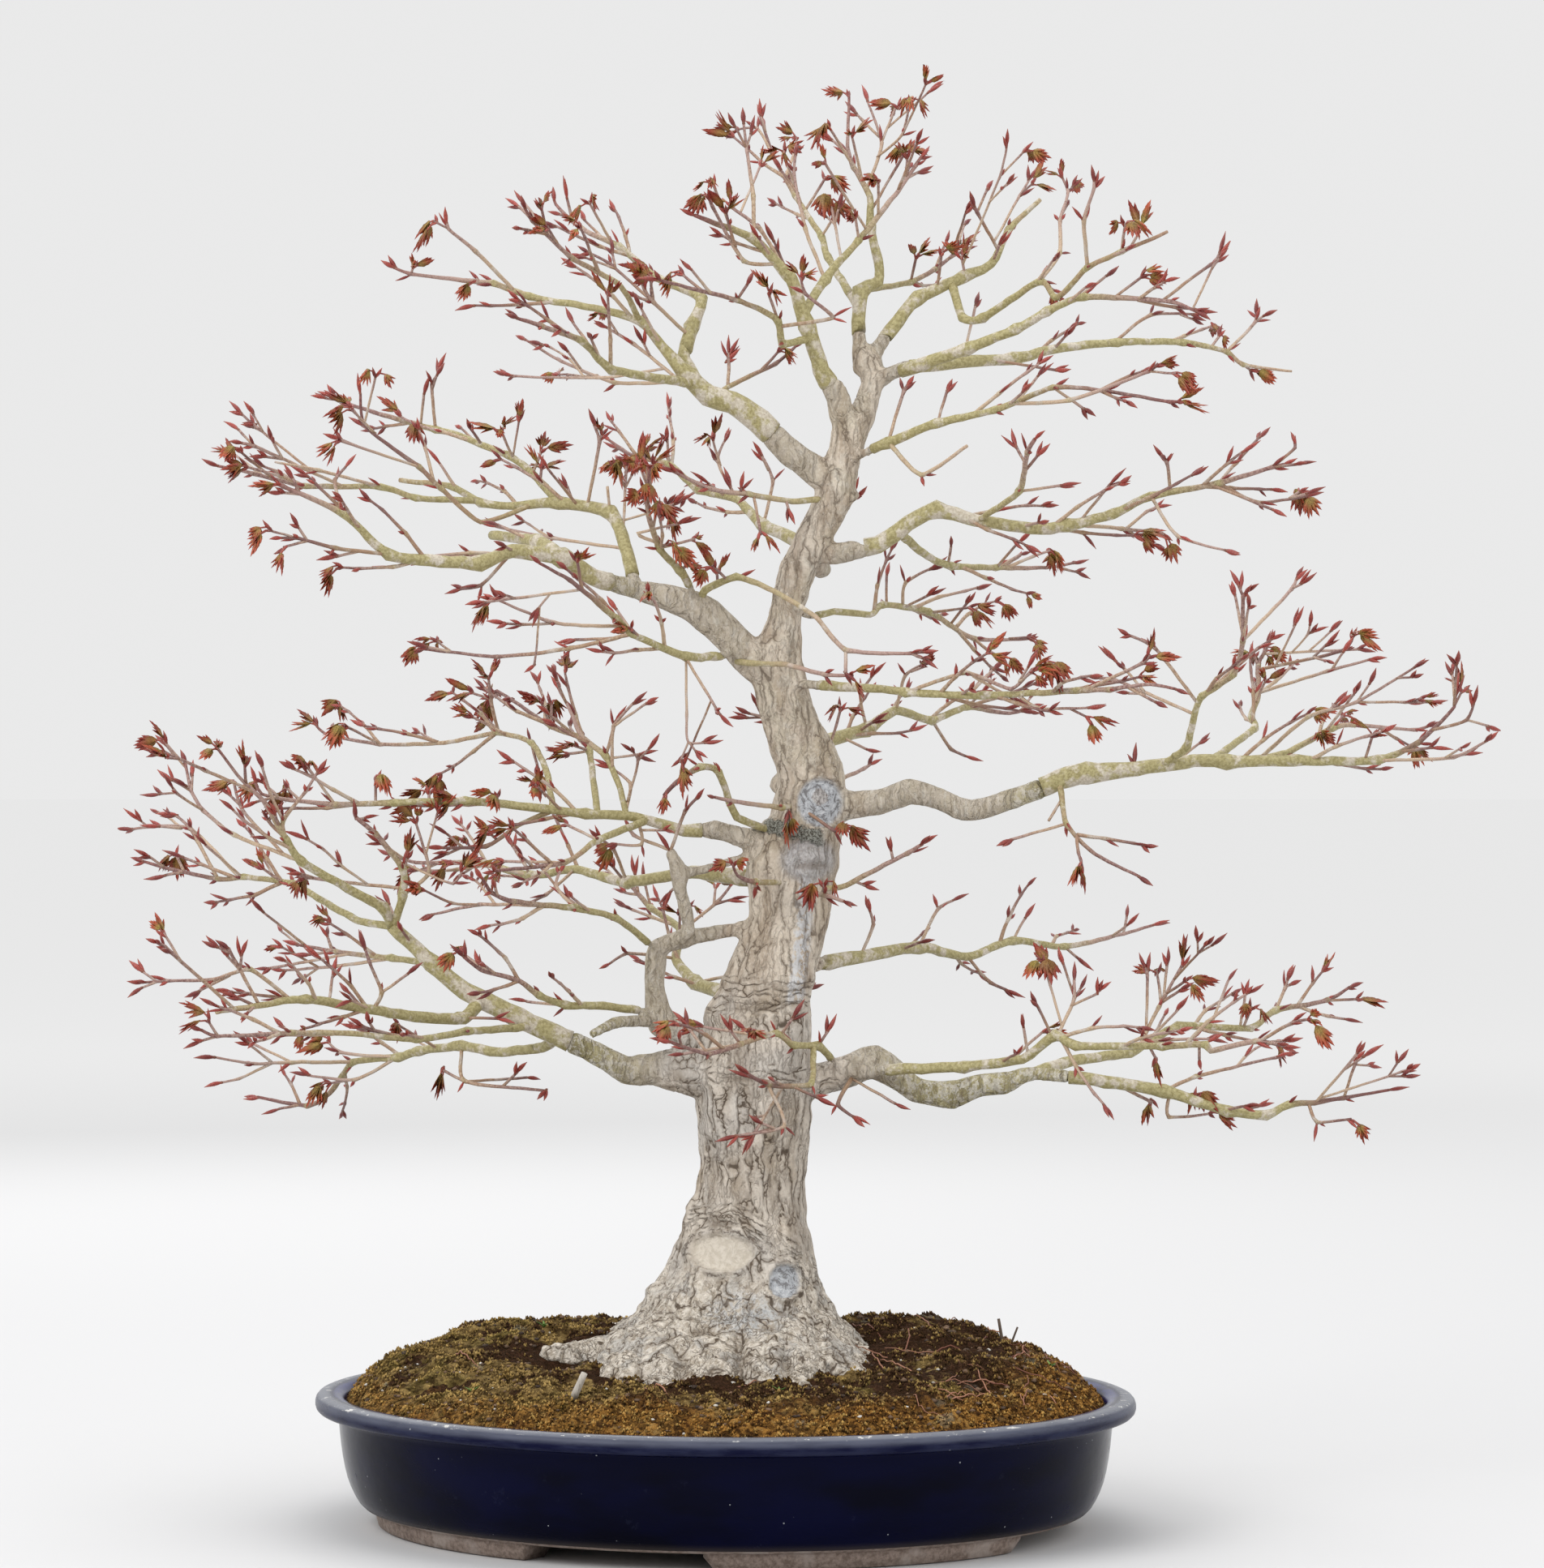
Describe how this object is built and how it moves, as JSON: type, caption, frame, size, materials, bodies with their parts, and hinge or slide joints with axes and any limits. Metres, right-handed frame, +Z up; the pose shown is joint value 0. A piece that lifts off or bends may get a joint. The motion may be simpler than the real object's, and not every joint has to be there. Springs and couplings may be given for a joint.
{
  "type": "japanese maple bonsai",
  "caption": "Informal upright bonsai tree in spring bud, with surface roots and fine twigs, growing in a soil mound in a low glazed oval pot on four feet.",
  "frame": {"origin": "centre of the whole part's bounding box at the underside of the pot's feet", "axes": "+X to the viewer's right across the tree's front, -Y toward the viewer of the tree's front, +Z up"},
  "size_m": [0.8628, 0.4916, 0.9009],
  "materials": {
    "glaze": "dark cobalt gloss glaze, worn to grey blue on the lip, over unglazed brown clay feet",
    "soil": "granular potting soil under golden brown moss",
    "screen": "moulded dark green plastic net",
    "bark": "pale cream grey bark with fine vertical cracks",
    "young_wood": "smooth olive to mauve brown young bark with dark red buds and opening red leaves"
  },
  "bodies": {
    "root": {"drainage_screen_left": "screen", "drainage_screen_right": "screen", "pot": "glaze", "soil": "soil", "spray_back_high": "young_wood", "spray_back_left": "young_wood", "spray_back_low": "young_wood", "spray_back_mid": "young_wood", "spray_back_right": "young_wood", "spray_big_right": "young_wood", "spray_big_right_back": "young_wood", "spray_big_right_front": "young_wood", "spray_big_right_top": "young_wood", "spray_crown_back": "young_wood", "spray_crown_left": "young_wood", "spray_crown_right": "young_wood", "spray_fan_back": "young_wood", "spray_fan_front": "young_wood", "spray_fan_low": "young_wood", "spray_left_mid": "young_wood", "spray_left_mid_back": "young_wood", "spray_left_mid_low": "young_wood", "spray_low_front": "young_wood", "spray_low_left": "young_wood", "spray_low_right": "young_wood", "spray_low_right_back": "young_wood", "spray_low_right_front": "young_wood", "spray_right_lower": "young_wood", "spray_right_middle": "young_wood", "spray_right_thin": "young_wood", "spray_right_upper": "young_wood", "spray_right_upper_low": "young_wood", "spray_riser_front": "young_wood", "spray_riser_low": "young_wood", "spray_top_back": "young_wood", "spray_top_front": "young_wood", "spray_top_rise": "young_wood", "spray_upper_left": "young_wood", "spray_upper_left_low": "young_wood", "spray_upper_left_rise": "young_wood", "spray_upper_mid_front": "young_wood", "spray_upper_mid_olive": "young_wood", "spray_upper_mid_out": "young_wood", "spray_upper_mid_rise": "young_wood", "spray_upper_mid_spur": "young_wood", "spray_upper_mid_top": "young_wood", "trunk": "bark"}
  },
  "joints": []
}
